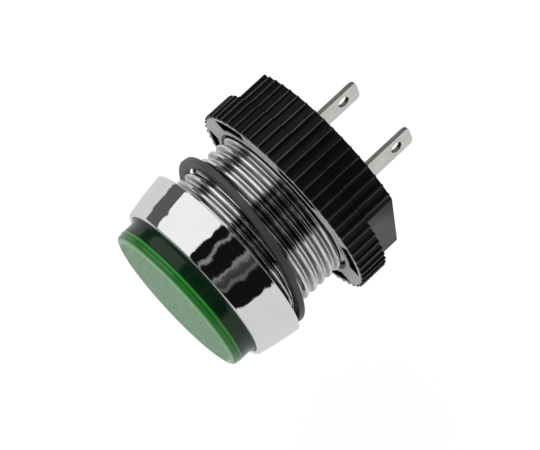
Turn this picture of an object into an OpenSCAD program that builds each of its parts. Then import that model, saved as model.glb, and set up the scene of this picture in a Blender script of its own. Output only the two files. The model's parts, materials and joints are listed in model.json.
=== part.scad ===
// Panel pilot light: a round indicator lamp that is pushed through a panel hole from the front and
// clamped from behind by a ring nut. Millimetres. The lamp's axis is Y, the lens looks along -Y and
// the solder tabs point along +Y. The origin is the centre of the bezel's rear face, which is the
// plane of the panel's front. The two tabs stand apart along X.

/* [Threaded barrel] */
// Diameter over the thread crests
thread_d = 28.8; // [27:0.1:30]
// Distance from one thread crest to the next
thread_pitch = 1.8; // [1.5:0.1:2.4]
// Depth of the thread
thread_depth = 0.8; // [0.5:0.05:0.9]
// Length of the barrel behind the panel's front
barrel_length = 23.2; // [20:0.2:30]
// Bore of the barrel
bore_d = 24.4; // [23.6:0.1:24.8]

/* [Bezel] */
// Diameter of the bezel where it meets the panel
bezel_rear_d = 34.5; // [33.5:0.1:40]
// Diameter of the bezel at its front corner
bezel_front_d = 31.8; // [31.4:0.1:33.4]
// Depth of the bezel from the panel to its front lip
bezel_depth = 7.85; // [7:0.05:12]
// Diameter of the recess that holds the lens
seat_d = 30.1; // [29.6:0.1:30.4]
// Thickness of the bezel's floor behind the lens recess
seat_floor = 1.6; // [1.2:0.1:2]

/* [Lens cap] */
// How far the lens stands out of the bezel
lens_out = 4.35; // [3:0.05:8]
// Diameter of the frosted face
face_d = 26.4; // [20:0.1:27]
// Height of the frosted face above the polished rim
face_step = 0.18; // [0.1:0.02:0.4]
// Thickness of the lens front
face_t = 1.6; // [1.2:0.1:2.4]
// Diameter of the polished rim
rim_d = 29; // [28:0.1:29.4]
// Height of the polished rim
rim_h = 1.75; // [1.2:0.05:2.6]
// Thickness of the wall of the lens foot
foot_wall = 1.6; // [1.2:0.1:1.9]

/* [Ring nut] */
// Distance from the panel's front to the nut
nut_at = 12.7; // [10:0.1:13.5]
// Height of the nut
nut_h = 11.1; // [9:0.1:13]
// Diameter over the grip ribs
nut_d = 38.5; // [37.5:0.1:44]
// Height of the full round part in front of the wrench flats
nut_round_h = 5.4; // [4:0.1:7]
// Width across the two wrench flats
nut_flats = 30.8; // [30.8:0.1:34]
// Number of grip ribs
rib_count = 56; // [40:2:72]
// Height of the grip ribs
rib_h = 0.42; // [0.2:0.02:0.6]
// Number of webs across the cored front
web_count = 6; // [4:1:8]
// Width of each web
web_w = 9.2; // [6:0.1:10]
// Width of the cored pockets
pocket_w = 1.9; // [1:0.1:2]
// Turn of the nut about the lamp's axis, in degrees
nut_turn = 12.5; // [0:0.5:360]

/* [Panel gasket] */
// Outer diameter of the gasket
gasket_d = 32.4; // [31.8:0.1:34]
// Thickness of the gasket
gasket_t = 1.2; // [0.8:0.1:2]
// Lean of the loose gasket on the barrel, in degrees
gasket_lean = 9.5; // [0:0.5:10]
// Direction in which the gasket leans back, in degrees from +X towards +Z
gasket_lean_dir = 98; // [0:1:360]

/* [Solder tabs] */
// Distance between the middles of the two tabs
tab_spacing = 13.3; // [12:0.1:15]
// Width of a tab
tab_w = 4.8; // [4:0.1:5.2]
// Thickness of a tab
tab_t = 0.8; // [0.5:0.1:1]
// Length of a tab outside the base
tab_out = 11.7; // [8:0.1:16]
// Diameter of the wire hole
tab_hole_d = 2.2; // [1.2:0.1:2.6]
// Distance from the tab's end to the middle of the wire hole
tab_hole_in = 3.4; // [2.5:0.1:5]

/* [Terminal base] */
// Thickness of the base's rear wall
base_wall = 3; // [2:0.1:4]
// Thickness of the base's collar behind the barrel
collar_t = 1; // [0.6:0.1:1]
// Thickness of the base's skirt
skirt_wall = 1.1; // [0.8:0.1:1.4]

/* [Light unit] */
// Distance from the panel's front to the board
board_at = 4.4; // [4:0.1:6]
// Thickness of the board
board_t = 1.6; // [1:0.2:1.6]
// Number of light-emitting diodes
led_count = 6; // [6:1:6]
// Diameter of each light-emitting diode
led_d = 5; // [4.8:0.1:5.2]
// Diameter of the circle that the diodes stand on
led_circle_d = 13.6; // [13.2:0.1:13.8]

/* [Fits] */
// Radial clearance of the lens in the bezel
lens_clear = 0.15; // [0.1:0.05:0.25]
// Radial clearance of the pieces inside the bore
inner_clear = 0.2; // [0.1:0.05:0.3]
// Radial clearance of the nut over the thread crests
nut_clear = 0.15; // [0.1:0.05:0.3]
// Radial clearance of a round lead or strip in its hole
lead_clear = 0.1; // [0.05:0.05:0.15]

/* [Hidden] */
$fn = 96;
// Overrun of a cutting shape past the face that it cuts
eps = 0.5;

// Places along the axis, front to back
front_y = -bezel_depth;
lens_front_y = front_y - lens_out;
seat_y = -seat_floor;
seal_t = 0.9;
foot_end_y = seat_y - seal_t;
base_end_y = barrel_length + collar_t;
tab_end_y = base_end_y + tab_out;
board_back_y = board_at + board_t;

// Radii
thread_r = thread_d / 2;
root_r = thread_r - thread_depth;
bore_r = bore_d / 2;
seat_r = seat_d / 2;
foot_r = seat_r - lens_clear;
lens_bore_r = foot_r - foot_wall;
inner_r = bore_r - inner_clear;

// Snap beads: height of the bead, its half width along the axis, and the groove's extra room
bead_h = 0.2;
bead_w = 0.5;
bead_room = 0.1;
lens_bead_y = foot_end_y - 1.6;
base_bead_y = barrel_length - 3.4;

// The light unit
led_flange_d = led_d + 0.8;
led_flange_t = 1;
led_length = 8.6;
led_lead_gap = 2.54;
lead_r = 0.3;
lead_tail = 1;
led_circle_r = led_circle_d / 2;
led_first_angle = 30;

// Turns a shape made along +Z so that its axis is the lamp's axis and its top is the rear
module on_axis() {
    rotate([-90, 0, 0]) children();
}

// Turns a radius and axial place profile about the lamp's axis
module turned(profile) {
    on_axis() rotate_extrude() polygon(profile);
}

// A bead on a turned profile, with its middle at y, standing out from radius r by h
function bead(r, y, h, w) = [[r, y - w], [r + h, y - w / 3], [r + h, y + w / 3], [r, y + w]];

// Points of a quarter round from one corner side to the other, centred at c
function quarter(c, r, from, to, steps = 6) =
    [for (i = [0 : steps]) let (a = from + (to - from) * i / steps) c + r * [cos(a), sin(a)]];

// ---------- lens cap ----------
rim_r = rim_d / 2;
rim_round = 0.55;
rim_bead_w = 0.32;
rim_bead_h = 0.14;
neck_r = rim_r - 0.06;
rim_back_y = lens_front_y + rim_h;
rim_face_y = lens_front_y + face_step;
cove_r = 1.1;
cove_rise = foot_r - neck_r;

module lens_cap() {
    rim_side_r = rim_r - rim_bead_h;
    outside = concat(
        [[0, lens_front_y], [face_d / 2, lens_front_y], [face_d / 2, rim_face_y]],
        quarter([rim_side_r - rim_round, rim_face_y + rim_round], rim_round, -90, 0),
        bead(rim_side_r, rim_back_y - rim_bead_w, rim_bead_h, rim_bead_w),
        [[neck_r - 0.12, rim_back_y + 0.05], [neck_r, rim_back_y + 0.3]],
        [for (i = [0 : 5]) [neck_r + cove_rise * pow(i / 5, 2), front_y + cove_r * (i / 5 - 1)]],
        bead(foot_r, lens_bead_y, bead_h, bead_w),
        [[foot_r, foot_end_y - 0.25], [foot_r - 0.25, foot_end_y]]
    );
    inside = [
        [lens_bore_r, foot_end_y],
        [lens_bore_r, lens_front_y + face_t],
        [0, lens_front_y + face_t]
    ];
    color("#2c7a3a") turned(concat(outside, inside));
}

// ---------- diffuser ----------
diffuser_t = 1.2;
diffuser_y = lens_front_y + face_t;

module diffuser() {
    color("#eef2ea") on_axis() translate([0, 0, diffuser_y])
        cylinder(r = lens_bore_r - inner_clear, h = diffuser_t);
}

// ---------- reflector ----------
reflector_wall = 0.9;
reflector_floor = 0.8;
reflector_mouth_y = diffuser_y + diffuser_t;
reflector_floor_y = board_at - led_flange_t - 0.1;

module reflector() {
    mouth_r = lens_bore_r - inner_clear;
    floor_front_y = reflector_floor_y - reflector_floor;
    cup = [
        [0, reflector_floor_y], [inner_r - reflector_wall, reflector_floor_y],
        [inner_r - reflector_wall, board_at], [inner_r, board_at],
        [inner_r, foot_end_y - seal_t], [mouth_r, reflector_mouth_y],
        [mouth_r - reflector_wall, reflector_mouth_y],
        [inner_r - reflector_wall - 0.6, floor_front_y], [0, floor_front_y]
    ];
    color("#f4f4f0") difference() {
        turned(cup);
        at_leds() translate([0, 0, floor_front_y - eps])
            cylinder(d = led_d + 2 * lead_clear, h = reflector_floor + 2 * eps);
    }
}

// Puts its children at every place of a light-emitting diode
module at_leds() {
    for (i = [1 : led_count]) at_led(i) children();
}

module at_led(i) {
    turn = led_first_angle + (i - 1) * 360 / led_count;
    on_axis() rotate([0, 0, turn]) translate([led_circle_r, 0, 0]) children();
}

// ---------- lens seal ----------
module lens_seal() {
    color("#161616") on_axis() translate([0, 0, foot_end_y]) difference() {
        cylinder(r = foot_r, h = seal_t);
        translate([0, 0, -eps]) cylinder(r = lens_bore_r - 0.2, h = seal_t + 2 * eps);
    }
}

// ---------- bezel and barrel, one plated moulding ----------
lip_w = 0.45;
lip_groove = 0.18;
corner_round = 0.35;
thread_from = 0.9;
crest_w = 0.22 * thread_pitch;
root_w = 0.16 * thread_pitch;
end_chamfer = 0.6;
thread_turns = floor((barrel_length - end_chamfer - thread_from) / thread_pitch);

// One thread ridge: up the flank, along the crest and down again
function ridge(y) = let (flank = (thread_pitch - crest_w - root_w) / 2) [
    [root_r, y], [thread_r, y + flank], [thread_r, y + flank + crest_w], [root_r, y + 2 * flank + crest_w]
];

module bezel_body() {
    bezel_rear_r = bezel_rear_d / 2;
    bezel_front_r = bezel_front_d / 2;
    lip_r = seat_r + lip_w;
    front = concat(
        [[seat_r, front_y + 0.12], [seat_r + 0.12, front_y], [lip_r - 0.1, front_y]],
        [[lip_r, front_y + lip_groove], [lip_r + 0.1, front_y + lip_groove]],
        quarter([bezel_front_r - corner_round, front_y + corner_round + 0.05], corner_round, -90, -10)
    );
    // The side swells a little between the front corner and the panel
    swell = 0.09;
    side = [for (i = [1 : 7]) let (t = i / 8) [
        bezel_front_r + (bezel_rear_r - bezel_front_r) * t + 4 * swell * t * (1 - t),
        front_y + corner_round + (bezel_depth - corner_round) * t
    ]];
    back = [[bezel_rear_r, -0.15], [bezel_rear_r - 0.15, 0], [root_r, 0]];
    thread = [for (i = [0 : thread_turns - 1]) each ridge(thread_from + i * thread_pitch)];
    end = [[root_r, barrel_length - end_chamfer], [root_r - end_chamfer, barrel_length]];
    bore = concat(
        [[bore_r, barrel_length]],
        [for (p = bead(bore_r, base_bead_y, bead_h + bead_room, -bead_w - bead_room)) p],
        [[bore_r, seat_y], [seat_r, seat_y]],
        [for (p = bead(seat_r, lens_bead_y, bead_h + bead_room, -bead_w - bead_room)) p]
    );
    color("#d4d6d8") turned(concat(front, side, back, thread, end, bore));
}

// ---------- panel gasket ----------
gasket_edge = 0.2;

module panel_gasket() {
    // The hole is opened until the leaning ring passes the thread all round
    hole_r = thread_r / cos(gasket_lean) + gasket_t / 2 * tan(gasket_lean) + 0.12;
    outer_r = gasket_d / 2;
    half_t = gasket_t / 2;
    // The lowest edge of the leaning ring rests on the bezel's rear face
    centre_y = outer_r * sin(gasket_lean) + half_t * cos(gasket_lean) + 0.02;
    ring = [
        [hole_r, -half_t], [outer_r - gasket_edge, -half_t], [outer_r, gasket_edge - half_t],
        [outer_r, half_t - gasket_edge], [outer_r - gasket_edge, half_t], [hole_r, half_t]
    ];
    color("#2e2e30") on_axis() translate([0, 0, centre_y])
        rotate([0, 0, -gasket_lean_dir]) rotate([0, -gasket_lean, 0])
        rotate_extrude() polygon(ring);
}

// ---------- ring nut ----------
nut_bore_r = thread_r + nut_clear;
hub_wall = 1.3;
pocket_inner_r = nut_bore_r + hub_wall;
pocket_outer_r = pocket_inner_r + pocket_w;
rear_rib_drop = 0.2;
crest_share = 0.2;
valley_share = 0.64;
flange_floor = 1.3;
nut_floor = 1.8;
flat_wall = 1.6;
web_turn = 16.5;
lead_in = 0.5;

// Outline of the ribbed grip: flat valleys between narrow ribs
function ribbed(r) = let (step = 360 / rib_count) [
    for (i = [0 : rib_count - 1], k = [0 : 3])
        let (
            share = [-crest_share, crest_share, 1 - valley_share, valley_share][k] / (k < 2 ? 2 : 1),
            a = step * (i + share),
            rr = k < 2 ? r : r - rib_h
        )
        rr * [cos(a), sin(a)]
];

module pockets(depth) {
    translate([0, 0, -eps]) difference() {
        cylinder(r = pocket_outer_r, h = depth + eps);
        translate([0, 0, -eps]) cylinder(r = pocket_inner_r, h = depth + 3 * eps);
        for (i = [0 : web_count - 1]) rotate([0, 0, web_turn + i * 360 / web_count])
            translate([0, -web_w / 2, -eps]) cube([nut_d, web_w, depth + 3 * eps]);
    }
}

module ring_nut() {
    slab = nut_flats / 2 - flat_wall;
    color("#121210") on_axis() translate([0, 0, nut_at]) rotate([0, 0, nut_turn]) difference() {
        union() {
            linear_extrude(nut_round_h) polygon(ribbed(nut_d / 2));
            intersection() {
                linear_extrude(nut_h) polygon(ribbed(nut_d / 2 - rear_rib_drop));
                translate([-nut_flats / 2, -nut_d, 0]) cube([nut_flats, 2 * nut_d, nut_h]);
            }
        }
        translate([0, 0, -eps]) cylinder(r = nut_bore_r, h = nut_h + 2 * eps);
        translate([0, 0, -eps]) cylinder(r1 = nut_bore_r + lead_in + eps, r2 = nut_bore_r, h = lead_in + eps);
        pockets(nut_round_h - flange_floor);
        intersection() {
            pockets(nut_h - nut_floor);
            translate([-slab, -nut_d, -2 * eps]) cube([2 * slab, 2 * nut_d, nut_h]);
        }
    }
}

// ---------- terminal base ----------
module terminal_base() {
    collar_r = root_r - end_chamfer;
    wall_y = barrel_length - base_wall;
    cup = concat(
        [[0, base_end_y], [0, wall_y], [inner_r - skirt_wall, wall_y], [inner_r - skirt_wall, board_back_y]],
        [[inner_r, board_back_y]],
        bead(inner_r, base_bead_y, bead_h + inner_clear - 0.05, bead_w),
        [[inner_r, barrel_length], [collar_r, barrel_length]],
        [[collar_r, base_end_y - 0.3], [collar_r - 0.3, base_end_y]]
    );
    color("#1b1b1b") difference() {
        turned(cup);
        for (side = [-1, 1]) translate([side * tab_spacing / 2, (wall_y + base_end_y) / 2, 0])
            cube([tab_t + 2 * lead_clear, base_wall + collar_t + 2 * eps, tab_w + 2 * lead_clear], center = true);
    }
}

// ---------- solder tabs ----------
tab_corner = 1.1;
shoulder_w = 1.2;
shoulder_t = 1.4;
strip_w = 2.2;
strip_in = 0.2;

module solder_tab(side) {
    half = tab_w / 2;
    wall_y = barrel_length - base_wall;
    // The wide blade, the shoulders that stop against the base, and the strip to the board
    outline = concat(
        [[-half, wall_y], [-half, tab_end_y - tab_corner]],
        [[-half + tab_corner * 0.35, tab_end_y - tab_corner * 0.35], [-half + tab_corner, tab_end_y]],
        [[half - tab_corner, tab_end_y], [half - tab_corner * 0.35, tab_end_y - tab_corner * 0.35]],
        [[half, tab_end_y - tab_corner], [half, wall_y]],
        [[half + shoulder_w, wall_y], [half + shoulder_w, wall_y - shoulder_t]],
        [[strip_w / 2, wall_y - shoulder_t], [strip_w / 2, board_at + strip_in]],
        [[-strip_w / 2, board_at + strip_in], [-strip_w / 2, wall_y - shoulder_t]],
        [[-half - shoulder_w, wall_y - shoulder_t], [-half - shoulder_w, wall_y]]
    );
    color("#c8c5c0") translate([side * tab_spacing / 2, 0, 0]) difference() {
        rotate([0, -90, 0]) translate([0, 0, -tab_t / 2]) linear_extrude(tab_t) polygon(outline);
        translate([0, tab_end_y - tab_hole_in, 0]) rotate([0, 90, 0])
            cylinder(d = tab_hole_d, h = tab_t + 2 * eps, center = true);
    }
}

// ---------- board and its parts ----------
resistor_z = [2.1, 5.2];
resistor_reach = 4.1;
resistor_d = 2.3;
resistor_l = 6.3;
diode_places = [[-6.6, -5.2], [6.6, -5.2], [-7.3, 4.8], [7.3, 4.8]];
diode_d = 2.7;
diode_l = 5.2;
diode_loop = 2.4;
capacitor_z = -5.6;
capacitor_d = 6.3;
capacitor_l = 11;
capacitor_lead_gap = 2.5;
part_lift = 1.4;
hole_r = lead_r + lead_clear;

// Direction from a standing diode to its second hole, towards the board's middle
function diode_in(p) = -p / norm(p) * diode_loop;

// Every round hole of the board, as places in X and Z
led_holes = [for (i = [1 : led_count], s = [-1, 1])
    let (a = led_first_angle + (i - 1) * 360 / led_count)
    led_circle_r * [cos(a), -sin(a)] + s * led_lead_gap / 2 * [sin(a), cos(a)]];
resistor_holes = [for (z = resistor_z, s = [-1, 1]) [s * resistor_reach, z]];
diode_holes = [for (p = diode_places, k = [0, 1]) p + k * diode_in(p)];
capacitor_holes = [for (s = [-1, 1]) [s * capacitor_lead_gap / 2, capacitor_z]];

// A round lead along Y at a place in X and Z
module lead(place, from, to) {
    translate([place[0], from, place[1]]) on_axis() cylinder(r = lead_r, h = to - from);
}

module led_board() {
    strip_slot = [tab_t + 2 * lead_clear, board_t + 2 * eps, strip_w + 2 * lead_clear];
    color("#2f6b45") difference() {
        on_axis() translate([0, 0, board_at]) cylinder(r = inner_r, h = board_t);
        for (p = concat(led_holes, resistor_holes, diode_holes, capacitor_holes))
            translate([p[0], board_at - eps, p[1]]) on_axis() cylinder(r = hole_r, h = board_t + 2 * eps);
        for (side = [-1, 1])
            translate([side * tab_spacing / 2, board_at + board_t / 2, 0]) cube(strip_slot, center = true);
    }
}

module led(i) {
    dome_r = led_d / 2;
    color("#b8d8b8") union() {
        at_led(i) {
            translate([0, 0, board_at - led_flange_t]) cylinder(d = led_flange_d, h = led_flange_t);
            translate([0, 0, board_at - led_length + dome_r])
                cylinder(r = dome_r, h = led_length - dome_r - led_flange_t);
            translate([0, 0, board_at - led_length + dome_r]) sphere(r = dome_r);
        }
        for (k = [0, 1]) lead(led_holes[2 * (i - 1) + k], board_at - led_flange_t, board_back_y + lead_tail);
    }
}

module resistor(i) {
    z = resistor_z[i - 1];
    y = board_back_y + part_lift;
    color("#c9b184") union() {
        translate([0, y, z]) rotate([0, 90, 0]) cylinder(d = resistor_d, h = resistor_l, center = true);
        translate([0, y, z]) rotate([0, 90, 0])
            cylinder(r = lead_r * 0.9, h = 2 * resistor_reach, center = true);
        for (s = [-1, 1]) lead([s * resistor_reach, z], board_at + lead_clear, y + lead_r);
    }
}

module rectifier_diode(i) {
    place = diode_places[i - 1];
    second = place + diode_in(place);
    body_y = board_back_y + part_lift;
    top_y = body_y + diode_l + 0.8;
    turn = atan2(second[1] - place[1], second[0] - place[0]);
    color("#2a2a2c") union() {
        translate([place[0], body_y, place[1]]) on_axis() cylinder(d = diode_d, h = diode_l);
        // The upper lead bends over and runs back down to the board beside the body
        for (p = [place, second]) lead(p, board_at + lead_clear, top_y + lead_r);
        translate([place[0], top_y, place[1]]) rotate([0, -turn, 0]) rotate([0, 90, 0])
            cylinder(r = lead_r * 0.9, h = diode_loop);
    }
}

module smoothing_capacitor() {
    body_y = board_back_y + part_lift;
    color("#23324a") union() {
        translate([0, body_y, capacitor_z]) on_axis() cylinder(d = capacitor_d, h = capacitor_l);
        for (p = capacitor_holes) lead(p, board_at + lead_clear, body_y + eps);
    }
}

lens_cap();
diffuser();
reflector();
lens_seal();
bezel_body();
panel_gasket();
ring_nut();
terminal_base();
solder_tab(-1);  // solder_tab_1
solder_tab(1);  // solder_tab_2
led_board();
for (i = [1 : led_count]) led(i);
for (i = [1 : 2]) resistor(i);
for (i = [1 : 4]) rectifier_diode(i);
smoothing_capacitor();
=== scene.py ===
"""Panel pilot light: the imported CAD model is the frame, and the pieces that show are rebuilt here
with their finer shapes and finishes. Shapes are in millimetres in the row frame, and MM turns them
into metres. The camera's distance, the floor, the lamps and the bumps are in metres."""
import json
import math

import bmesh
import bpy
from mathutils import Matrix, Vector
from mathutils.geometry import tessellate_polygon


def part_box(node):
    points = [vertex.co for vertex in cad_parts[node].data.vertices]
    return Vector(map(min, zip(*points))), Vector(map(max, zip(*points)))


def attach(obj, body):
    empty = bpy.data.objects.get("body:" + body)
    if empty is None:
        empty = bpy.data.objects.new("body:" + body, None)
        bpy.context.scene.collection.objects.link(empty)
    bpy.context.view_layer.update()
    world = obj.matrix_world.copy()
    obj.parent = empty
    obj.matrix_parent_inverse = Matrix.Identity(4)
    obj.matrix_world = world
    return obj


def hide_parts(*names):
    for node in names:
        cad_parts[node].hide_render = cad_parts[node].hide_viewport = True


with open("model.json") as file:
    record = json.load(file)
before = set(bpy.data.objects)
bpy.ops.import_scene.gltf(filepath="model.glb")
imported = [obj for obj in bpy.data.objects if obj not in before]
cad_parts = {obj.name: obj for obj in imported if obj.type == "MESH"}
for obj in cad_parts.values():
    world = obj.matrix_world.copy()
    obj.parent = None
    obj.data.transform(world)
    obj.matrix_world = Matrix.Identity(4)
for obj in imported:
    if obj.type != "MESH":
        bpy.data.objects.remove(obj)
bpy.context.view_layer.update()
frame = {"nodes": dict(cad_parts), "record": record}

MM = 0.001


def low_high(node):
    """The lowest and highest corner of a CAD node, in millimetres."""
    low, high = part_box(node)
    return low / MM, high / MM


# ---------------------------------------------------------------- camera
# The lamp's axis is Y. side points across the picture of the lamp, and face is the side of the
# barrel that the camera sees.
ROLL = math.radians(29.0)
TILT = math.radians(9.8)
PICTURE_TURN = math.radians(42.75)
TARGET_RIGHT = 6.98
TARGET_UP = 4.67
CAMERA_AWAY = 0.6
side = Vector((math.cos(ROLL), 0, -math.sin(ROLL)))
face = Vector((math.sin(ROLL), 0, math.cos(ROLL)))
axis = Vector((0, 1, 0))


def add_camera():
    to_camera = face * math.cos(TILT) - axis * math.sin(TILT)
    along = axis * math.cos(TILT) + face * math.sin(TILT)
    right = along * math.cos(PICTURE_TURN) + side * math.sin(PICTURE_TURN)
    up = along * math.sin(PICTURE_TURN) - side * math.cos(PICTURE_TURN)
    target = (right * TARGET_RIGHT + up * TARGET_UP) * MM
    data = bpy.data.cameras.new("camera")
    data.sensor_width = 36
    data.lens = 240
    data.clip_start = 0.01
    data.clip_end = 20
    camera = bpy.data.objects.new("camera", data)
    bpy.context.scene.collection.objects.link(camera)
    turn = Matrix((right, up, to_camera)).transposed().to_4x4()
    camera.matrix_world = Matrix.Translation(target + to_camera * CAMERA_AWAY) @ turn
    bpy.context.scene.camera = camera


add_camera()
bpy.context.scene.view_settings.view_transform = "Standard"


# ---------------------------------------------------------------- node helpers
class Nodes:
    """A small writer for a node tree."""

    def __init__(self, tree):
        self.tree = tree
        tree.nodes.clear()

    def add(self, kind, _inputs=None, **settings):
        node = self.tree.nodes.new(kind)
        for key, value in settings.items():
            setattr(node, key, value)
        for key, value in (_inputs or {}).items():
            self.put(node.inputs[key], value)
        return node

    def put(self, socket, value):
        """Links value to an input, or sets it there. A colour may be given without alpha."""
        if isinstance(value, bpy.types.NodeSocket):
            self.tree.links.new(value, socket)
        elif isinstance(value, tuple) and len(value) == 3 and len(socket.default_value) == 4:
            socket.default_value = (*value, 1)
        else:
            socket.default_value = value

    def math(self, operation, a, b=0.0):
        return self.add("ShaderNodeMath", {0: a, 1: b}, operation=operation).outputs[0]

    def dot(self, a, b):
        node = self.add("ShaderNodeVectorMath", {0: a, 1: b}, operation="DOT_PRODUCT")
        return node.outputs["Value"]

    def ramp(self, fac, stops):
        """A colour ramp. Each stop is (place, grey) or (place, (red, green, blue))."""
        node = self.add("ShaderNodeValToRGB", {"Fac": fac})
        elements = node.color_ramp.elements
        while len(elements) > 1:
            elements.remove(elements[-1])
        for i, (place, value) in enumerate(stops):
            element = elements[0] if i == 0 else elements.new(place)
            element.position = place
            element.color = (*value, 1) if isinstance(value, tuple) else (value, value, value, 1)
        return node.outputs["Color"]

    def mix(self, fac, a, b, **settings):
        """Colour a where fac is 0 and colour b where it is 1."""
        node = self.add("ShaderNodeMix", {0: fac, 6: a, 7: b}, data_type="RGBA", **settings)
        return node.outputs[2]

    def stretch(self, vector, scale):
        return self.add("ShaderNodeMapping", {0: vector, 3: scale}).outputs[0]

    def step(self, value, low, high, to_low=0.0, to_high=1.0):
        """A smooth step of value from low to high."""
        inputs = {0: value, 1: low, 2: high, 3: to_low, 4: to_high}
        return self.add("ShaderNodeMapRange", inputs, interpolation_type="SMOOTHSTEP").outputs[0]

    def noise(self, vector, scale, detail=2.0, roughness=0.5):
        inputs = {"Vector": vector, "Scale": scale, "Detail": detail, "Roughness": roughness}
        return self.add("ShaderNodeTexNoise", inputs).outputs[0]

    def bump(self, height, strength, distance, normal=None):
        inputs = {"Height": height, "Strength": strength, "Distance": distance}
        if normal is not None:
            inputs["Normal"] = normal
        return self.add("ShaderNodeBump", inputs).outputs["Normal"]


def material(name, build, **constants):
    """A Principled material. build(nodes, place) returns the linked inputs, and constants are set
    on the sockets."""
    made = bpy.data.materials.new(name)
    made.use_nodes = True
    nodes = Nodes(made.node_tree)
    coordinates = nodes.add("ShaderNodeTexCoord")
    shader = nodes.add("ShaderNodeBsdfPrincipled")
    for key, value in constants.items():
        nodes.put(shader.inputs[key.replace("_", " ")], value)
    for key, value in build(nodes, coordinates.outputs["Object"]).items():
        nodes.put(shader.inputs[key], value)
    output = nodes.add("ShaderNodeOutputMaterial")
    nodes.tree.links.new(shader.outputs[0], output.inputs["Surface"])
    return made


def axial(nodes, place):
    """Distance along the lamp's axis in millimetres, and distance from it."""
    parts = nodes.add("ShaderNodeSeparateXYZ", {0: place})
    x, y, z = (nodes.math("MULTIPLY", parts.outputs[i], 1 / MM) for i in range(3))
    square = nodes.math("ADD", nodes.math("MULTIPLY", x, x), nodes.math("MULTIPLY", z, z))
    radius = nodes.math("SQRT", square)
    return y, radius


# ---------------------------------------------------------------- world and floor
GREY, PALE, DARK, END = 0.70, 0.93, 0.006, 0.10
# The studio round the axis, as (degrees from side towards face, brightness)
STUDIO = [
    (-180, END), (-157, END), (-156, GREY), (28, GREY),
    (30, DARK), (56, DARK), (60, 0.13), (65, 0.03), (71, 0.06), (76, 0.22),
    (79, DARK), (99, DARK), (102, 0.3), (105, DARK), (117, DARK),
    (118.5, PALE), (178.5, PALE), (180, END),
]
STUDIO_GRAIN = 9.0
RAGGED_EDGE = 0.055


def add_world():
    """White behind the object, an even soft light on it, and for polished surfaces a studio with a
    dark side."""
    world = bpy.data.worlds.new("studio")
    bpy.context.scene.world = world
    world.use_nodes = True
    nodes = Nodes(world.node_tree)
    direction = nodes.add("ShaderNodeTexCoord").outputs["Generated"]
    across = nodes.dot(direction, tuple(side))
    towards = nodes.dot(direction, tuple(face))
    along = nodes.dot(direction, tuple(axis))
    turn = nodes.math("DIVIDE", nodes.math("ARCTAN2", towards, across), 2 * math.pi)
    grain_u = nodes.math("MULTIPLY", turn, STUDIO_GRAIN)
    grain_v = nodes.math("MULTIPLY", along, STUDIO_GRAIN)
    place = nodes.add("ShaderNodeCombineXYZ", {0: grain_u, 1: grain_v}).outputs[0]
    ragged = nodes.math("SUBTRACT", nodes.noise(place, 1.6, 4.0, 0.6), 0.5)
    shift = nodes.math("MULTIPLY", ragged, RAGGED_EDGE)
    shifted = nodes.math("ADD", nodes.math("ADD", turn, 0.5), shift)
    studio = nodes.ramp(shifted, [(angle / 360 + 0.5, value) for angle, value in STUDIO])
    # The thread's flanks show the studio's ends: light past the tabs and dark past the lens, each
    # with a little streaking
    streak = nodes.noise(place, 5.0, 3.0, 0.6)
    light_end = nodes.ramp(streak, [(0.35, 0.3), (0.65, 0.62)])
    dark_end = nodes.ramp(streak, [(0.4, 0.03), (0.65, 0.16)])
    studio = nodes.mix(nodes.step(along, 0.45, 0.8), studio, light_end)
    studio = nodes.mix(nodes.step(along, -0.8, -0.45, 1.0, 0.0), studio, dark_end)
    path = nodes.add("ShaderNodeLightPath").outputs
    direct = nodes.math("MAXIMUM", path["Is Camera Ray"], path["Is Transmission Ray"])
    colour = nodes.mix(path["Is Glossy Ray"], (0.82, 0.83, 0.84), studio)
    colour = nodes.mix(direct, colour, (1, 1, 1))
    shader = nodes.add("ShaderNodeBackground", {"Color": colour, "Strength": 1.0})
    output = nodes.add("ShaderNodeOutputWorld")
    nodes.tree.links.new(shader.outputs[0], output.inputs["Surface"])


FLOOR_BELOW = 0.055
FLOOR_HALF = 3.0
FLOOR_IN_METAL = 0.68


def add_floor():
    """Paper under the object that takes its shadow, and looks white behind it and in it."""
    mesh = bpy.data.meshes.new("floor")
    half, z = FLOOR_HALF, -FLOOR_BELOW
    corners = [(-half, -half, z), (half, -half, z), (half, half, z), (-half, half, z)]
    mesh.from_pydata(corners, [], [(0, 1, 2, 3)])
    floor = bpy.data.objects.new("floor", mesh)
    bpy.context.scene.collection.objects.link(floor)
    made = bpy.data.materials.new("floor_paper")
    made.use_nodes = True
    nodes = Nodes(made.node_tree)
    grain = nodes.noise(nodes.add("ShaderNodeTexCoord").outputs["Object"], 60.0)
    paper_colour = nodes.ramp(grain, [(0.3, 0.88), (0.7, 0.9)])
    paper = nodes.add("ShaderNodeBsdfDiffuse", {"Color": paper_colour}).outputs[0]
    path = nodes.add("ShaderNodeLightPath").outputs
    white, pale = (
        nodes.add("ShaderNodeEmission", {"Color": (v, v, v), "Strength": 1.0}).outputs[0]
        for v in (1.0, FLOOR_IN_METAL)
    )
    direct = nodes.math("MAXIMUM", path["Is Camera Ray"], path["Is Transmission Ray"])
    whiteness = nodes.math("MULTIPLY", direct, 0.9)
    seen = nodes.add("ShaderNodeMixShader", {0: whiteness, 1: paper, 2: white}).outputs[0]
    last = nodes.add("ShaderNodeMixShader", {0: path["Is Glossy Ray"], 1: seen, 2: pale}).outputs[0]
    output = nodes.add("ShaderNodeOutputMaterial")
    nodes.tree.links.new(last, output.inputs["Surface"])
    mesh.materials.append(made)


def add_light(name, place, size, power):
    """A round lamp that points at the object and isn't seen in polished surfaces."""
    data = bpy.data.lights.new(name, "AREA")
    data.shape = "DISK"
    data.size = size
    data.energy = power
    light = bpy.data.objects.new(name, data)
    bpy.context.scene.collection.objects.link(light)
    light.location = place
    light.rotation_euler = (-Vector(place)).to_track_quat("-Z", "Y").to_euler()
    light.visible_glossy = False


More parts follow.
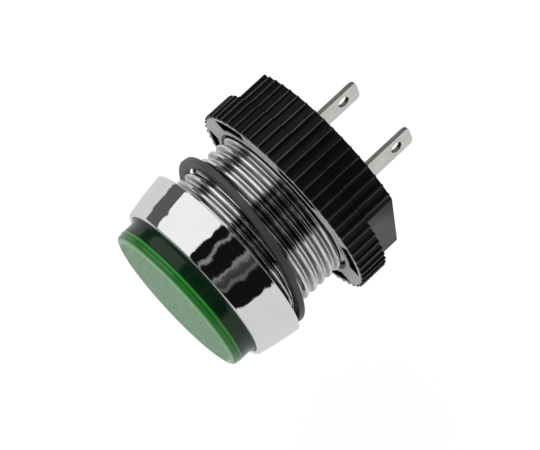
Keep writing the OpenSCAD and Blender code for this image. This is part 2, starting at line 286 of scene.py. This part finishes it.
add_world()
add_floor()
add_light("soft_front", (0.05, -0.75, 0.55), 0.6, 4.0)
add_light("soft_top", (-0.35, 0.15, 0.9), 0.7, 3.5)


# ---------------------------------------------------------------- mesh helpers
MERGE = 0.0004


def new_piece(name, vertices, faces, body, replaces, finish, sharp):
    """Makes a mesh piece from millimetres, merges doubled corners, and puts it in the frame. Edges
    that turn by more than sharp degrees stay sharp."""
    mesh = bpy.data.meshes.new(name)
    mesh.from_pydata([Vector(v) * MM for v in vertices], [], faces)
    work = bmesh.new()
    work.from_mesh(mesh)
    bmesh.ops.remove_doubles(work, verts=work.verts, dist=MERGE * MM)
    bmesh.ops.dissolve_degenerate(work, edges=work.edges, dist=MERGE * MM)
    bmesh.ops.recalc_face_normals(work, faces=work.faces)
    work.to_mesh(mesh)
    work.free()
    mesh.shade_smooth()
    mesh.set_sharp_from_angle(angle=math.radians(sharp))
    mesh.materials.append(finish)
    piece = bpy.data.objects.new(name, mesh)
    bpy.context.scene.collection.objects.link(piece)
    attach(piece, body)
    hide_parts(*replaces)
    return piece


def around(columns, shift_block=None):
    """Closes columns of (radius, axial) points into a surface about the axis. Each column has the
    same number of points, the columns are equal steps round the axis, and shift_block (first, last,
    shift) says which points of the last column join on to points further on in the first, as a
    helix does."""
    count = len(columns)
    length = len(columns[0])
    vertices = []
    for i, column in enumerate(columns):
        angle = 2 * math.pi * i / count
        vertices += [(r * math.cos(angle), y, r * math.sin(angle)) for r, y in column]
    faces = []
    for i in range(count):
        nxt = (i + 1) % count
        for j in range(length):
            k = (j + 1) % length
            a, b = i * length + j, i * length + k
            c, d = nxt * length + k, nxt * length + j
            if nxt == 0 and shift_block and shift_block[0] <= j < shift_block[1]:
                first, last, shift = shift_block
                c = min(j + 1 + shift, last)
                d = min(j + shift, last)
            corners = []
            for v in (a, b, c, d):
                if v not in corners:
                    corners.append(v)
            if len(corners) > 2:
                faces.append(corners)
    return vertices, faces


def arc(centre, radius, start, end, steps):
    """Points of an arc in the (radius, axial) plane, angles in degrees."""
    points = []
    for i in range(steps + 1):
        a = math.radians(start + (end - start) * i / steps)
        points.append((centre[0] + radius * math.cos(a), centre[1] + radius * math.sin(a)))
    return points


# ---------------------------------------------------------------- finishes
CREST_R = 14.4
ROOT_R = 13.6


def chrome(nodes, place):
    """Bright plating on the bezel, and rougher plating on the threaded barrel, its flanks darkened
    as painted shade.
    """
    soft = nodes.noise(place, 260.0, 3.0, 0.6)
    fine = nodes.noise(place, 2600.0, 3.0, 0.6)
    colour = nodes.ramp(soft, [(0.3, (0.87, 0.875, 0.885)), (0.7, (0.93, 0.93, 0.935))])
    y, radius = axial(nodes, place)
    threaded = nodes.step(y, 0.4, 1.0)
    # The thread carries painted shade: dark on the flanks against light crests and roots, with fine
    # lines round the barrel all over
    height = nodes.math("DIVIDE", nodes.math("SUBTRACT", radius, ROOT_R), CREST_R - ROOT_R)
    stops = [(0.0, 0.85), (0.06, 0.75), (0.16, 0.33), (0.72, 0.4), (0.9, 0.88), (1.0, 0.96)]
    flank_shade = nodes.ramp(height, stops)
    lines = nodes.noise(nodes.stretch(place, (0.05, 1.0, 0.05)), 5200.0, 3.0, 0.7)
    lined = nodes.ramp(lines, [(0.38, 0.5), (0.58, 1.0)])
    colour = nodes.mix(threaded, colour, nodes.mix(1.0, flank_shade, lined, blend_type="MULTIPLY"))
    plating_rough = nodes.math("MULTIPLY", fine, 0.05)
    rough = nodes.math("ADD", plating_rough, nodes.math("MULTIPLY", threaded, 0.11))
    wavy = nodes.bump(nodes.noise(place, 420.0, 2.0), 0.35, 0.00002)
    strength = nodes.math("ADD", nodes.math("MULTIPLY", threaded, 0.5), 0.06)
    normal = nodes.bump(fine, strength, 0.000015, wavy)
    return {"Base Color": colour, "Roughness": rough, "Normal": normal}


def two_tone_plastic(dark, light, rough, bump):
    """Moulded plastic that wanders between two given tones, with a fine grain: black on the nut's
    body, lighter on its rib tops as painted highlight and on its front and flats as painted sheen.
    """

    def build(nodes, place):
        grain = nodes.noise(place, 5200.0, 2.0, 0.6)
        patches = nodes.noise(place, 160.0, 3.0, 0.6)
        part, rest = nodes.math("MULTIPLY", patches, 0.6), nodes.math("MULTIPLY", grain, 0.4)
        tone = nodes.math("ADD", part, rest)
        return {
            "Base Color": nodes.ramp(tone, [(0.3, dark), (0.7, light)]),
            "Roughness": nodes.math("ADD", nodes.math("MULTIPLY", patches, 0.16), rough),
            "Normal": nodes.bump(grain, bump, 0.00002),
        }

    return build


def black_moulding(nodes, place):
    """The base: even black plastic with a fine grain."""
    grain = nodes.noise(place, 4200.0, 2.0, 0.6)
    colour = nodes.ramp(nodes.noise(place, 200.0), [(0.3, 0.012), (0.75, 0.02)])
    rough = nodes.math("ADD", nodes.math("MULTIPLY", grain, 0.15), 0.42)
    return {"Base Color": colour, "Roughness": rough, "Normal": nodes.bump(grain, 0.4, 0.00002)}


def rubber(nodes, place):
    """Dark grey rubber with a fine grain."""
    fine = nodes.noise(place, 6500.0, 3.0, 0.7)
    broad = nodes.noise(place, 240.0, 3.0, 0.6)
    tone = nodes.math("ADD", nodes.math("MULTIPLY", fine, 0.5), nodes.math("MULTIPLY", broad, 0.5))
    colour = nodes.ramp(tone, [(0.35, (0.018, 0.018, 0.018)), (0.65, (0.045, 0.045, 0.044))])
    rough = nodes.math("ADD", nodes.math("MULTIPLY", fine, 0.2), 0.3)
    return {"Base Color": colour, "Roughness": rough, "Normal": nodes.bump(fine, 0.5, 0.00004)}


LENS_FRONT = low_high("lens_cap")[0].y
LENS_DEPTH = 10.0
FACE_R = 13.2


def frosted_green(nodes, place):
    """The lens face: a fine light speckle over grey green."""
    speck = nodes.noise(place, 3800.0, 3.0, 0.8)
    cloud = nodes.noise(place, 140.0, 3.0, 0.6)
    colour = nodes.mix(
        cloud,
        nodes.ramp(speck, [(0.40, (0.065, 0.13, 0.07)), (0.60, (0.20, 0.31, 0.215))]),
        nodes.ramp(speck, [(0.40, (0.08, 0.15, 0.085)), (0.60, (0.225, 0.335, 0.24))]),
    )
    rough = nodes.math("ADD", nodes.math("MULTIPLY", speck, 0.2), 0.55)
    return {"Base Color": colour, "Roughness": rough, "Normal": nodes.bump(speck, 0.8, 0.00004)}


def lens_green(nodes, place):
    """Deep green moulding with a polished rim, coloured by depth: painted highlights on the face's
    edge, the rim and its bead, and painted shade darkening the neck.
    """
    y, _ = axial(nodes, place)
    depth = nodes.math("SUBTRACT", y, LENS_FRONT)
    cloud = nodes.noise(place, 500.0, 3.0, 0.6)
    # Painted highlights and painted shade by depth, from the face's edge back over the rim, its
    # bead, and down to the neck
    stops = [
        (0.0, (0.30, 0.52, 0.30)), (0.012, (0.22, 0.44, 0.22)), (0.019, (0.02, 0.12, 0.022)),
        (0.05, (0.008, 0.085, 0.01)), (0.08, (0.015, 0.13, 0.018)), (0.11, (0.006, 0.06, 0.008)),
        (0.135, (0.015, 0.13, 0.018)), (0.16, (0.03, 0.24, 0.035)),
        (0.18, (0.002, 0.016, 0.004)), (0.3, (0.0015, 0.012, 0.004)), (1.0, (0.001, 0.006, 0.003)),
    ]
    rim = nodes.ramp(nodes.math("DIVIDE", depth, LENS_DEPTH), stops)
    rough = nodes.math("ADD", nodes.math("MULTIPLY", cloud, 0.12), 0.08)
    return {"Base Color": rim, "Roughness": rough, "Normal": nodes.bump(cloud, 0.15, 0.00004)}


def tin(nodes, place):
    """Rolled tin plating, light on the flat faces of a tab, with painted shade darkening its cut
    edges.
    """
    normal = nodes.add("ShaderNodeNewGeometry").outputs["Normal"]
    parts = nodes.add("ShaderNodeSeparateXYZ", {0: normal})
    # The tab's edges, found by the way their faces turn, get painted shade from the dark cut colour
    edge = nodes.step(nodes.math("ABSOLUTE", parts.outputs[0]), 0.3, 0.8, 1.0, 0.0)
    rolled = nodes.noise(nodes.stretch(place, (1.0, 0.12, 1.0)), 5200.0, 3.0, 0.6)
    patches = nodes.noise(place, 300.0, 3.0, 0.6)
    flat = nodes.ramp(patches, [(0.3, (0.78, 0.765, 0.74)), (0.75, (0.92, 0.905, 0.88))])
    cut = nodes.ramp(rolled, [(0.3, (0.12, 0.115, 0.105)), (0.75, (0.3, 0.29, 0.27))])
    colour = nodes.mix(edge, flat, cut)
    rough = nodes.math("ADD", nodes.math("MULTIPLY", rolled, 0.2), 0.34)
    return {"Base Color": colour, "Roughness": rough, "Normal": nodes.bump(rolled, 0.12, 0.00001)}


def speckled(dark, light, scale, rough):
    """A finish that wanders between two colours, for the small pieces inside."""

    def build(nodes, place):
        tone = nodes.noise(place, scale, 3.0, 0.6)
        return {
            "Base Color": nodes.ramp(tone, [(0.3, dark), (0.7, light)]),
            "Roughness": nodes.math("ADD", nodes.math("MULTIPLY", tone, 0.2), rough),
            "Normal": nodes.bump(nodes.noise(place, scale * 6), 0.2, 0.00002),
        }

    return build


def plain(name, dark, light, scale, rough):
    return material(name, speckled(dark, light, scale, rough))


# One finish for each material slot
FINISH = {
    "lens": material("lens", lens_green, Specular_IOR_Level=0.35),
    "chrome_plate": material("chrome_plate", chrome, Metallic=1.0),
    "nut_plastic": material(
        "nut_plastic",
        two_tone_plastic((0.0022, 0.0022, 0.0018), (0.0042, 0.0041, 0.0034), 0.2, 0.2),
        Specular_IOR_Level=0.1,
    ),
    "base_plastic": material("base_plastic", black_moulding, IOR=1.5),
    "gasket_rubber": material("gasket_rubber", rubber, Specular_IOR_Level=0.5),
    "seal_rubber": material("seal_rubber", rubber, IOR=1.5),
    "tinned_brass": material("tinned_brass", tin, Metallic=1.0),
    "diffuser": plain("diffuser", (0.8, 0.83, 0.77), (0.88, 0.9, 0.85), 900.0, 0.4),
    "reflector": plain("reflector", (0.84, 0.84, 0.81), (0.9, 0.9, 0.88), 500.0, 0.25),
    "board": plain("board", (0.03, 0.13, 0.06), (0.05, 0.19, 0.08), 1500.0, 0.35),
    "led_resin": plain("led_resin", (0.5, 0.8, 0.55), (0.6, 0.88, 0.65), 800.0, 0.08),
    "resistor_body": plain("resistor_body", (0.45, 0.33, 0.17), (0.55, 0.42, 0.23), 1200.0, 0.35),
    "diode_body": plain("diode_body", (0.015, 0.015, 0.017), (0.03, 0.03, 0.032), 2400.0, 0.4),
    "capacitor_sleeve": plain(
        "capacitor_sleeve", (0.015, 0.035, 0.08), (0.025, 0.05, 0.11), 600.0, 0.2
    ),
}

# Finishes for parts of a piece: the lens's frosted face, and the nut's rib tops, front and flats,
# lighter than the nut's body as painted highlight on the rib tops and painted sheen on the front
# and flats
LENS_FACE = material("lens_face", frosted_green, Specular_IOR_Level=0.1)
# Lighter rib tops and front bevels of the nut: a painted highlight
NUT_CREST_HIGHLIGHT = material(
    "nut_crest_highlight",
    two_tone_plastic((0.006, 0.006, 0.006), (0.035, 0.034, 0.033), 0.2, 0.3),
    Specular_IOR_Level=0.5,
)
# The nut's front face in light grey: a painted sheen on black plastic
NUT_FACE_SHEEN = material(
    "nut_face_sheen",
    two_tone_plastic((0.24, 0.24, 0.236), (0.42, 0.42, 0.412), 0.4, 0.6),
    Specular_IOR_Level=0.6,
)
# The nut's flats a little lighter than its body: a painted sheen
NUT_FLAT_SHEEN = material(
    "nut_flat_sheen",
    two_tone_plastic((0.005, 0.005, 0.005), (0.014, 0.014, 0.013), 0.32, 0.4),
    Specular_IOR_Level=0.18,
)


# ---------------------------------------------------------------- lens cap
SEGMENTS = 240


def band(radius, y, rise, foot, top):
    """Four points of a band round the axis that rises by rise. foot and top are its half widths,
    and negative ones give the points in the other order."""
    out = radius + rise
    return [(radius, y - foot), (out, y - top), (out, y + top), (radius, y + foot)]


def build_lens():
    front = LENS_FRONT
    bezel_front = low_high("bezel_body")[0].y
    foot_end = low_high("lens_cap")[1].y
    foot_r = 14.9
    inner = foot_r - 1.6
    rim_back = front + 1.75
    rim = 14.5
    side_r = rim - 0.14
    step = 0.18
    neck = 14.44
    bead_y = foot_end - 1.6
    outside = [(0.0, front), (6.0, front), (12.0, front)]
    outside += arc((FACE_R - 0.05, front + 0.05), 0.05, -90, 0, 3)
    outside += arc((FACE_R + 0.05, front + step - 0.05), 0.05, 180, 90, 3)
    outside += arc((side_r - 0.55, front + step + 0.55), 0.55, -90, 0, 10)
    outside += [(side_r, rim_back - 0.66)]
    outside += arc((side_r - 0.18, rim_back - 0.32), 0.32, -52, 52, 10)
    outside += [(neck - 0.12, rim_back + 0.05), (neck - 0.02, rim_back + 0.16)]
    outside += [(neck, rim_back + 0.4)]
    for i in range(9):
        t = i / 8
        outside.append((neck + (foot_r - neck) * t * t, bezel_front - 1.1 + 1.1 * t))
    outside += band(foot_r, bead_y, 0.2, 0.5, 0.17)
    outside += [(foot_r, foot_end - 0.25), (foot_r - 0.25, foot_end)]
    inside = [(inner, foot_end), (inner, front + 1.6), (0.0, front + 1.6)]
    vertices, faces = around([outside + inside] * SEGMENTS)
    replaced, finish = ["lens_cap"], FINISH["lens"]
    piece = new_piece("lens_cap_moulding", vertices, faces, "lamp", replaced, finish, 40.0)
    piece.data.materials.append(LENS_FACE)
    for polygon in piece.data.polygons:
        if polygon.center.y / MM < front + 0.005 and polygon.normal.y < -0.99:
            polygon.material_index = 1


# ---------------------------------------------------------------- bezel and threaded barrel
PITCH = 1.8
# One turn of thread as (share of the pitch, share of the depth)
RIDGE = [
    (0.0, 0.0), (0.08, 0.0), (0.14, 0.10), (0.36, 0.86), (0.41, 0.98),
    (0.46, 1.0), (0.60, 1.0), (0.65, 0.98), (0.70, 0.86), (0.92, 0.10),
]


def thread_column(turn_share, start, end, turns):
    """The thread's profile at one place round the barrel. Both its ends fade into the core."""
    points = []
    for k in range(-1, turns):
        for along, height in RIDGE:
            y = start + (k + turn_share + along) * PITCH
            y = min(max(y, start), end)
            fade = min(1.0, (y - start) / 1.1, (end - y) / 0.5)
            points.append((ROOT_R + (CREST_R - ROOT_R) * height * max(fade, 0.0), y))
    return points


def build_bezel():
    low, high = low_high("bezel_body")
    front, end = low.y, high.y
    rear_r = high.x
    front_r = 15.9
    seat_r = 15.05
    lip_r = seat_r + 0.45
    groove = 0.18
    bore_r = 12.2
    seat_y = -1.6
    bead_y = -4.1
    snap_y = end - 3.4
    # From the barrel's rear end forwards inside, round the lip, and back outside to the seat
    profile = [(bore_r, end)] + band(bore_r, snap_y, 0.3, -0.6, -0.2)
    profile += [(bore_r, seat_y), (seat_r, seat_y)] + band(seat_r, bead_y, 0.3, -0.6, -0.2)
    profile += arc((seat_r + 0.12, front + 0.12), 0.12, 180, 270, 4)
    profile += arc((lip_r - 0.1, front + 0.1), 0.1, 270, 350, 4)
    profile += [(lip_r, front + groove), (lip_r + 0.08, front + groove)]
    profile += arc((front_r - 0.35, front + 0.4), 0.35, -90, -10, 7)
    swell = 0.09
    cone = 7.85
    for i in range(1, 16):
        t = i / 16
        r = front_r + (rear_r - front_r) * t + 4 * swell * t * (1 - t)
        profile.append((min(r, rear_r), front + 0.35 + (cone - 0.35) * t))
    profile += arc((rear_r - 0.15, -0.15), 0.15, 10, 90, 5)
    profile += [(ROOT_R, 0.0)]
    start, thread_end = 0.25, end - 0.6
    turns = int((thread_end - start) / PITCH) + 2
    first = len(profile)
    columns = []
    for i in range(SEGMENTS):
        thread = thread_column(i / SEGMENTS, start, thread_end, turns)
        columns.append(profile + thread + [(ROOT_R - 0.6, end)])
    last = first + len(thread) - 1
    vertices, faces = around(columns, (first, last, len(RIDGE)))
    replaced, finish = ["bezel_body"], FINISH["chrome_plate"]
    new_piece("bezel_barrel", vertices, faces, "lamp", replaced, finish, 38.0)


# ---------------------------------------------------------------- flat outlines made solid
def inset(loop, amount):
    """Moves each corner of a closed anticlockwise outline inwards along its mitre."""
    moved = []
    count = len(loop)
    for i in range(count):
        p, q, r = Vector(loop[i - 1]), Vector(loop[i]), Vector(loop[(i + 1) % count])
        a, b = (q - p).normalized(), (r - q).normalized()
        na, nb = Vector((-a.y, a.x)), Vector((-b.y, b.x))
        mitre = na + nb
        mitre = mitre / max(mitre.dot(na), 0.35)
        moved.append(tuple(q + mitre * amount))
    return moved


def signed_area(loop):
    return sum(a[0] * b[1] - b[0] * a[1] for a, b in zip(loop, loop[1:] + loop[:1])) / 2


class Solid:
    """Collects walls and caps drawn as outlines in (u, v) at a height w. place(u, v, w) gives a
    point of the row frame."""

    def __init__(self, place):
        self.place = place
        self.vertices = []
        self.faces = []

    def walls(self, rings):
        """rings is a list of (loop, height), all loops with the same number of corners."""
        count = len(rings[0][0])
        base = len(self.vertices)
        for loop, height in rings:
            self.vertices += [self.place(u, v, height) for u, v in loop]
        for k in range(len(rings) - 1):
            for i in range(count):
                j = (i + 1) % count
                a = base + k * count
                self.faces.append((a + i, a + j, a + count + j, a + count + i))

    def cap(self, loops, height):
        """A flat face with the first loop round it and the others as holes."""
        base = len(self.vertices)
        flat = [p for loop in loops for p in loop]
        self.vertices += [self.place(u, v, height) for u, v in flat]
        outlines = [[Vector((u, v, 0)) for u, v in loop] for loop in loops]
        for triangle in tessellate_polygon(outlines):
            self.faces.append(tuple(base + i for i in triangle))


def circle(radius, count, centre=(0.0, 0.0)):
    angles = [i * (2 * math.pi / count) for i in range(count)]
    u, v = centre
    return [(u + radius * math.cos(a), v + radius * math.sin(a)) for a in angles]


# ---------------------------------------------------------------- ring nut
RIBS = 56
NUT_R = 19.25
RIB_H = 0.42
# One rib as (share of a step, share of its height)
RIB = [
    (-0.5, 0.0), (-0.2, 0.0), (-0.155, 0.12), (-0.105, 0.75), (-0.06, 0.97),
    (0.0, 1.0), (0.06, 0.97), (0.105, 0.75), (0.155, 0.12), (0.2, 0.0),
]
NUT_TURN = math.radians(12.5)
NUT_BORE = 14.55
NUT_SHOULDER = 5.4
NUT_BEVEL = 0.14
NUT_DRAFT = 0.2
# The nut's flats are at |u| = FLAT_X behind the shoulder, and its pockets are deeper up to SLAB_X
FLAT_X = 15.4
SLAB_X = FLAT_X - 1.6
WEB_TURN = math.radians(16.5)
WEB = 9.2
WEBS = 6
POCKET_IN = NUT_BORE + 1.5
POCKET_OUT = NUT_BORE + 3.55
ROUND = 144


def rib_outline(radius):
    """Flat valleys between narrow rounded ribs."""
    step = 2 * math.pi / RIBS
    loop = []
    for i in range(RIBS):
        for share, height in RIB:
            a = step * (i + share)
            r = radius - RIB_H * (1 - height)
            loop.append((r * math.cos(a), r * math.sin(a)))
    return loop


def clip(loop, limit, keep_inside):
    """The part of an outline with |u| up to limit, or the part beyond it on one side."""

    def cut(points, inside, cross):
        kept = []
        for i, p in enumerate(points):
            q = points[(i + 1) % len(points)]
            if inside(p):
                kept.append(p)
            if inside(p) != inside(q):
                kept.append(cross(p, q))
        return kept

    def crossing(u):
        return lambda p, q: (u, p[1] + (q[1] - p[1]) * (u - p[0]) / (q[0] - p[0]))

    if keep_inside:
        loop = cut(loop, lambda p: p[0] <= limit, crossing(limit))
        return cut(loop, lambda p: p[0] >= -limit, crossing(-limit))
    beyond = cut(loop, lambda p: p[0] > limit, crossing(limit))
    return beyond or cut(loop, lambda p: p[0] < -limit, crossing(-limit))


def with_crossings(loop, limit):
    """The same outline with a corner added wherever it crosses |u| = limit."""
    out = []
    for i, p in enumerate(loop):
        q = loop[(i + 1) % len(loop)]
        out.append(p)
        for u in (limit, -limit):
            if (p[0] - u) * (q[0] - u) < 0:
                out.append((u, p[1] + (q[1] - p[1]) * (u - p[0]) / (q[0] - p[0])))
    return out


def pocket_outline(index):
    """A cored slot between two webs with parallel sides."""
    sector = 2 * math.pi / WEBS
    start = WEB_TURN + index * sector
    points = []
    for radius, order in ((POCKET_OUT, 1), (POCKET_IN, -1)):
        gap = math.asin(WEB / 2 / radius)
        angles = [start + gap + (sector - 2 * gap) * i / 14 for i in range(15)]
        points += [(radius * math.cos(a), radius * math.sin(a)) for a in angles[::order]]
    return points


def nut_place(front):
    """The nut's own axes to the row frame: w runs along +Y, and the turn is about Y."""

    def place(u, v, w):
        x = u * math.cos(NUT_TURN) - v * math.sin(NUT_TURN)
        y = u * math.sin(NUT_TURN) + v * math.cos(NUT_TURN)
        return (x, front + w, -y)

    return place


def paint_nut(piece, front):
    """Gives the rib tops and front bevels a painted highlight, and the front face and the flats a
    painted sheen, each as its own finish.
    """
    for finish in (NUT_CREST_HIGHLIGHT, NUT_FACE_SHEEN, NUT_FLAT_SHEEN):
        piece.data.materials.append(finish)
    crest_highlight, front_face_sheen, flat = 1, 2, 3
    flat_way = Vector((math.cos(NUT_TURN), 0, -math.sin(NUT_TURN)))
    for polygon in piece.data.polygons:
        middle = polygon.center / MM
        radius = math.hypot(middle.x, middle.z)
        outer = NUT_R if middle.y < front + NUT_SHOULDER else NUT_R - NUT_DRAFT
        if abs(polygon.normal.y) < 0.3 and radius > outer - 0.03:
            polygon.material_index = crest_highlight
        elif middle.y < front + NUT_BEVEL and radius > NUT_BORE + 0.55:
            polygon.material_index = front_face_sheen if polygon.normal.y < -0.95 else crest_highlight
        elif abs(polygon.normal.dot(flat_way)) > 0.98 and abs(middle.dot(flat_way)) > FLAT_X - 0.05:
            polygon.material_index = flat


def build_nut():
    low, high = low_high("ring_nut")
    front = low.y
    height = high.y - front
    shoulder, bevel = NUT_SHOULDER, NUT_BEVEL
    nut = Solid(nut_place(front))

    # The full round front part, with its ribs, up to the shoulder
    outline = rib_outline(NUT_R)
    rear_of_front = rib_outline(NUT_R - 0.02)
    first, last = inset(outline, bevel), inset(rear_of_front, bevel)
    soft = inset(outline, bevel * 0.3)
    rings = [(first, 0), (soft, bevel * 0.3), (outline, bevel)]
    nut.walls(rings + [(rear_of_front, shoulder - bevel), (last, shoulder)])

    # The rear part, cut by the two flats
    back = clip(rib_outline(NUT_R - NUT_DRAFT), FLAT_X, True)
    back_end = inset(back, bevel)
    nut.cap([last, back], shoulder)
    soft = inset(back, bevel * 0.3)
    rings = [(back, shoulder), (back, height - bevel), (soft, height - bevel * 0.3)]
    nut.walls(rings + [(back_end, height)])

    # The bore, and the faces at both ends with the mouths of the pockets
    bore = circle(NUT_BORE, ROUND)
    mouth = circle(NUT_BORE + 0.5, ROUND)
    rear_mouth = circle(NUT_BORE + 0.2, ROUND)
    pockets = [with_crossings(pocket_outline(i), SLAB_X) for i in range(WEBS)]
    edge = 0.1
    grown = [inset(pocket, -edge) for pocket in pockets]
    nut.cap([first, mouth] + grown, 0)
    nut.cap([back_end, rear_mouth], height)
    nut.walls([(mouth, 0), (bore, 0.5), (bore, height - 0.2), (rear_mouth, height)])

    # The pockets, deeper where the rear part is behind them
    depth, deep = shoulder - 1.3, height - 1.8
    for pocket, opened in zip(pockets, grown):
        nut.walls([(opened, 0), (pocket, edge), (pocket, depth)])
        inner = clip(pocket, SLAB_X, True)
        outer = clip(pocket, SLAB_X, False)
        if len(outer) > 2:
            nut.cap([outer], depth)
        if len(inner) > 2:
            nut.walls([(inner, depth), (inner, deep)])
            nut.cap([inner], deep)

    replaced, finish = ["ring_nut"], FINISH["nut_plastic"]
    name = "ring_nut_moulding"
    piece = new_piece(name, nut.vertices, nut.faces, "nut", replaced, finish, 34.0)
    paint_nut(piece, front)


# ---------------------------------------------------------------- panel gasket
GASKET_LEAN = math.radians(8.5)
GASKET_WAY = math.radians(117)
GASKET_R = 16.55
GASKET_HALF = 0.6


def build_gasket():
    """A flat ring that rests on the seat at one side and on the thread's crests."""
    lean, outer, half = GASKET_LEAN, GASKET_R, GASKET_HALF
    hole = CREST_R / math.cos(lean) + half * math.tan(lean) + 0.12
    middle = outer * math.sin(lean) + half * math.cos(lean) + 0.02
    profile = arc((outer - 0.25, -half + 0.25), 0.25, -90, 0, 4)
    profile += arc((outer - 0.25, half - 0.25), 0.25, 0, 90, 4)
    profile += arc((hole + 0.15, half - 0.15), 0.15, 90, 180, 3)
    profile += arc((hole + 0.15, -half + 0.15), 0.15, 180, 270, 3)
    vertices, faces = around([profile] * SEGMENTS)
    # Its axis is turned about the line across the side that it leans back towards
    away = Vector((math.cos(GASKET_WAY), 0, math.sin(GASKET_WAY)))
    line = Vector((-math.sin(GASKET_WAY), 0, math.cos(GASKET_WAY)))
    lean_back = Matrix.Rotation(lean, 3, line)
    if (lean_back @ away).y < 0:
        lean_back = Matrix.Rotation(-lean, 3, line)
    vertices = [lean_back @ Vector(v) + Vector((0, middle, 0)) for v in vertices]
    replaced, finish = ["panel_gasket"], FINISH["gasket_rubber"]
    name = "panel_gasket_ring"
    new_piece(name, vertices, faces, "lamp", replaced, finish, 60.0)


# ---------------------------------------------------------------- solder tabs
TAB_HALF = 2.4
TAB_CORNER = 1.1
# The ears that rest on the base's rear wall, and the stem that goes through it
TAB_WALL = 20.2
EAR_OUT = 1.2
EAR_DEEP = 1.4
STEM_HALF = 1.1
TAB_HOLE_R = 1.1
TAB_HOLE_FROM_END = 3.4


def tab_outline():
    """Outline of a tab as (across, along), with rounded corners at its end."""
    low, high = low_high("solder_tab_1")
    start, end = low.y, high.y
    right = [(TAB_HALF, TAB_WALL)]
    for i in range(9):
        a = math.radians(90 * i / 8)
        u = TAB_HALF - TAB_CORNER + TAB_CORNER * math.cos(a)
        right.append((u, end - TAB_CORNER + TAB_CORNER * math.sin(a)))
    left = [(-u, v) for u, v in reversed(right)]
    ear, under = TAB_HALF + EAR_OUT, TAB_WALL - EAR_DEEP
    foot = [(-ear, TAB_WALL), (-ear, under), (-STEM_HALF, under), (-STEM_HALF, start)]
    return right + left + foot + [(-u, v) for u, v in reversed(foot)]


def build_tab(name, node):
    low, high = low_high(node)
    middle = (low.x + high.x) / 2
    half = (high.x - low.x) / 2
    outline = tab_outline()
    if signed_area(outline) < 0:
        outline.reverse()
    hole_y = high.y - TAB_HOLE_FROM_END
    edge = 0.07

    def place(u, v, w):
        return (middle + w, v, u)

    tab = Solid(place)
    hole = circle(TAB_HOLE_R, 48, (0.0, hole_y))
    wide = circle(TAB_HOLE_R + edge, 48, (0.0, hole_y))
    slim = inset(outline, edge)
    tab.walls([(slim, -half), (outline, -half + edge), (outline, half - edge), (slim, half)])
    tab.walls([(wide, -half), (hole, -half + edge), (hole, half - edge), (wide, half)])
    tab.cap([slim, wide], -half)
    tab.cap([slim, wide], half)
    finish = FINISH["tinned_brass"]
    new_piece(name, tab.vertices, tab.faces, "lamp", [node], finish, 30.0)


build_lens()
build_bezel()
build_nut()
build_gasket()
build_tab("solder_tab_1_strip", "solder_tab_1")
build_tab("solder_tab_2_strip", "solder_tab_2")

# ---------------------------------------------------------------- the nodes that stay
for part in frame["record"]["subparts"]:
    shown = frame["nodes"][part["node"]]
    shown.data.materials.clear()
    shown.data.materials.append(FINISH[part["material_slot"]])
